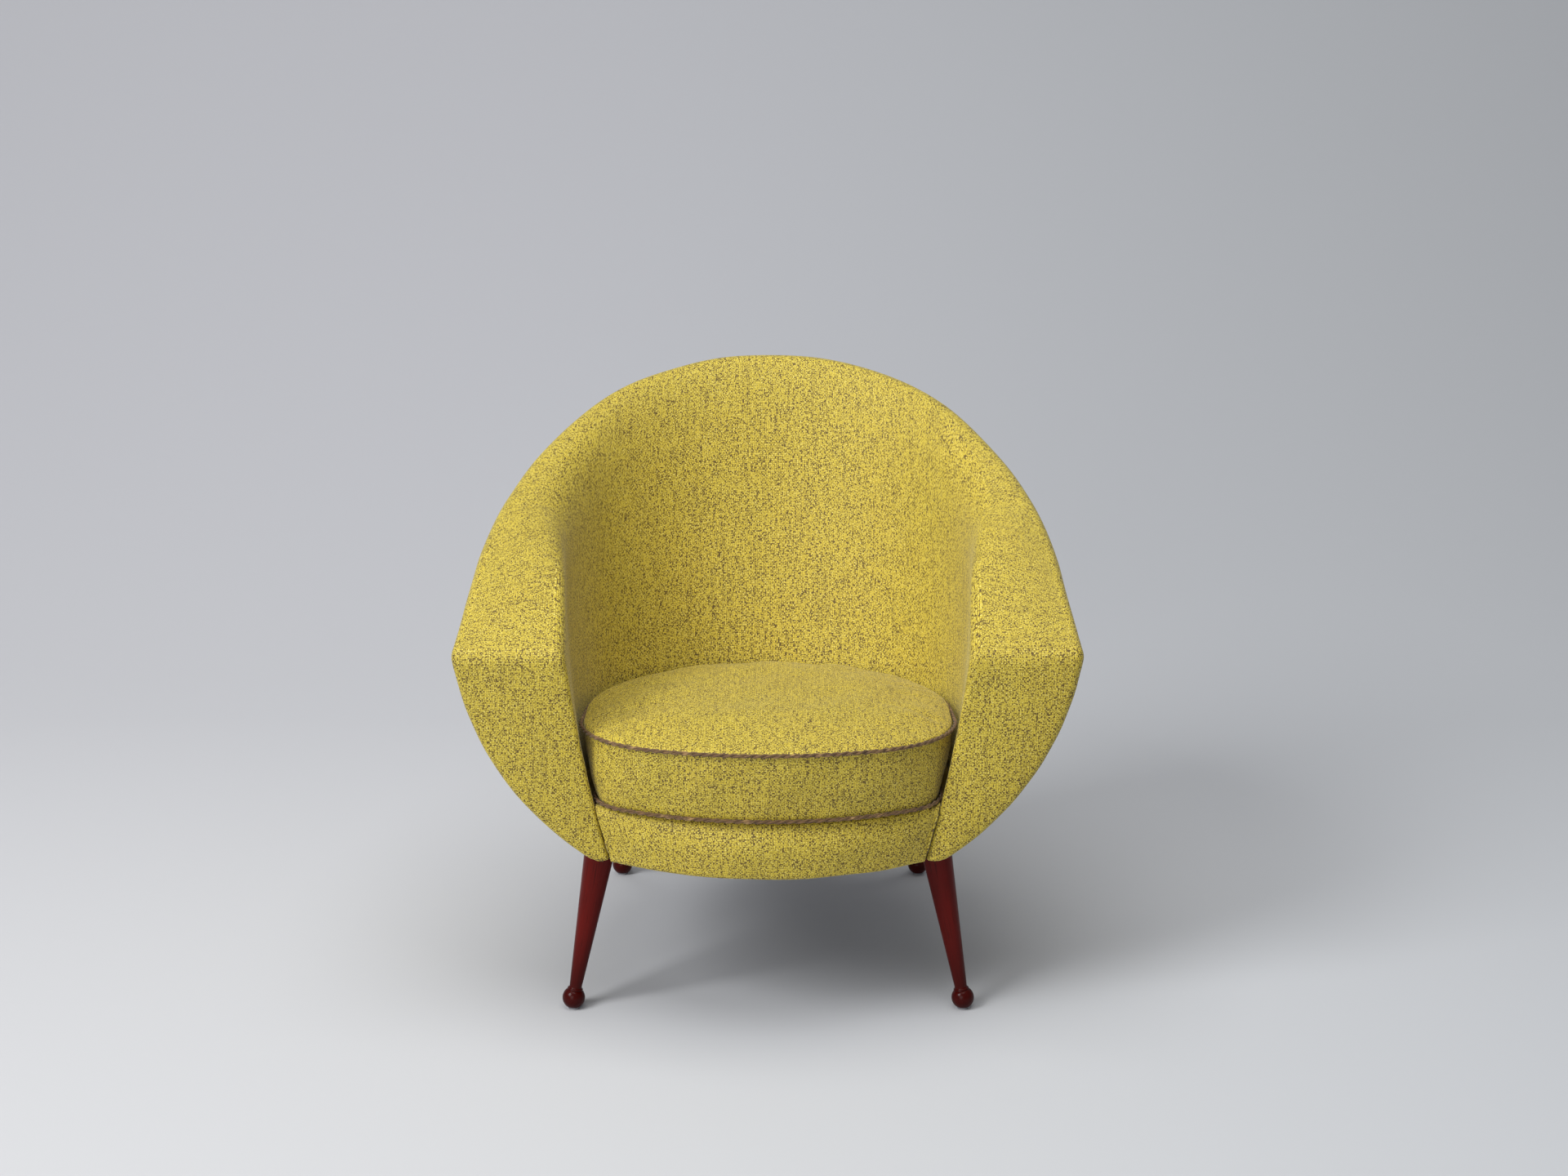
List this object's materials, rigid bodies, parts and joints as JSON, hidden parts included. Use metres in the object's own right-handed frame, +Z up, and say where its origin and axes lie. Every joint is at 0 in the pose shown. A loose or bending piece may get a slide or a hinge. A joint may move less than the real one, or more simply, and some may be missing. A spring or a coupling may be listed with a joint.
{
  "type": "tub armchair",
  "caption": "Upholstered tub armchair with a rim that rises from the arms to the back, a loose piped seat cushion and splayed turned legs with ball feet.",
  "frame": {"origin": "on the floor under the middle of the chair", "axes": "+Z up; the chair faces -Y; X from side to side"},
  "size_m": [0.7796, 0.6496, 0.7628],
  "materials": {
    "tweed": "coarse basket weave tweed, matt",
    "padding": "cotton felt and foam, matt",
    "frame_wood": "sawn beech, unfinished",
    "webbing": "jute webbing",
    "deck_cloth": "plain cotton",
    "dust_cloth": "plain black cloth",
    "leg_wood": "dark mahogany stain under lacquer, glossy",
    "steel": "zinc plated",
    "piping_cord": "twisted brown cord",
    "foam": "foam, matt"
  },
  "bodies": {
    "chair": {"outside_cover": "tweed", "inside_cover": "tweed", "apron_cover": "tweed", "tub_padding": "padding", "apron_padding": "padding", "front_seat_rail": "frame_wood", "rear_seat_rail": "frame_wood", "left_seat_rail": "frame_wood", "right_seat_rail": "frame_wood", "left_corner_block": "frame_wood", "right_corner_block": "frame_wood", "left_arm_board": "frame_wood", "right_arm_board": "frame_wood", "rim_hoop": "frame_wood", "left_back_rib": "frame_wood", "middle_back_rib": "frame_wood", "right_back_rib": "frame_wood", "left_side_rib": "frame_wood", "right_side_rib": "frame_wood", "seat_webbing_lengthwise": "webbing", "seat_webbing_crosswise": "webbing", "seat_deck_cover": "deck_cloth", "dust_cover": "dust_cloth", "front_left_leg": "leg_wood", "front_right_leg": "leg_wood", "rear_left_leg": "leg_wood", "rear_right_leg": "leg_wood", "leg_bolts": "steel", "leg_glides": "steel"},
    "cushion": {"cushion_top_panel": "tweed", "cushion_boxing": "tweed", "cushion_bottom_panel": "tweed", "cushion_top_piping": "piping_cord", "cushion_bottom_piping": "piping_cord", "cushion_core": "foam"}
  },
  "joints": [
    {"name": "cushion_lift", "type": "slide", "parent": "chair", "child": "cushion", "axis": [0, 0, 1], "range_m": [0, 0.5]}
  ]
}
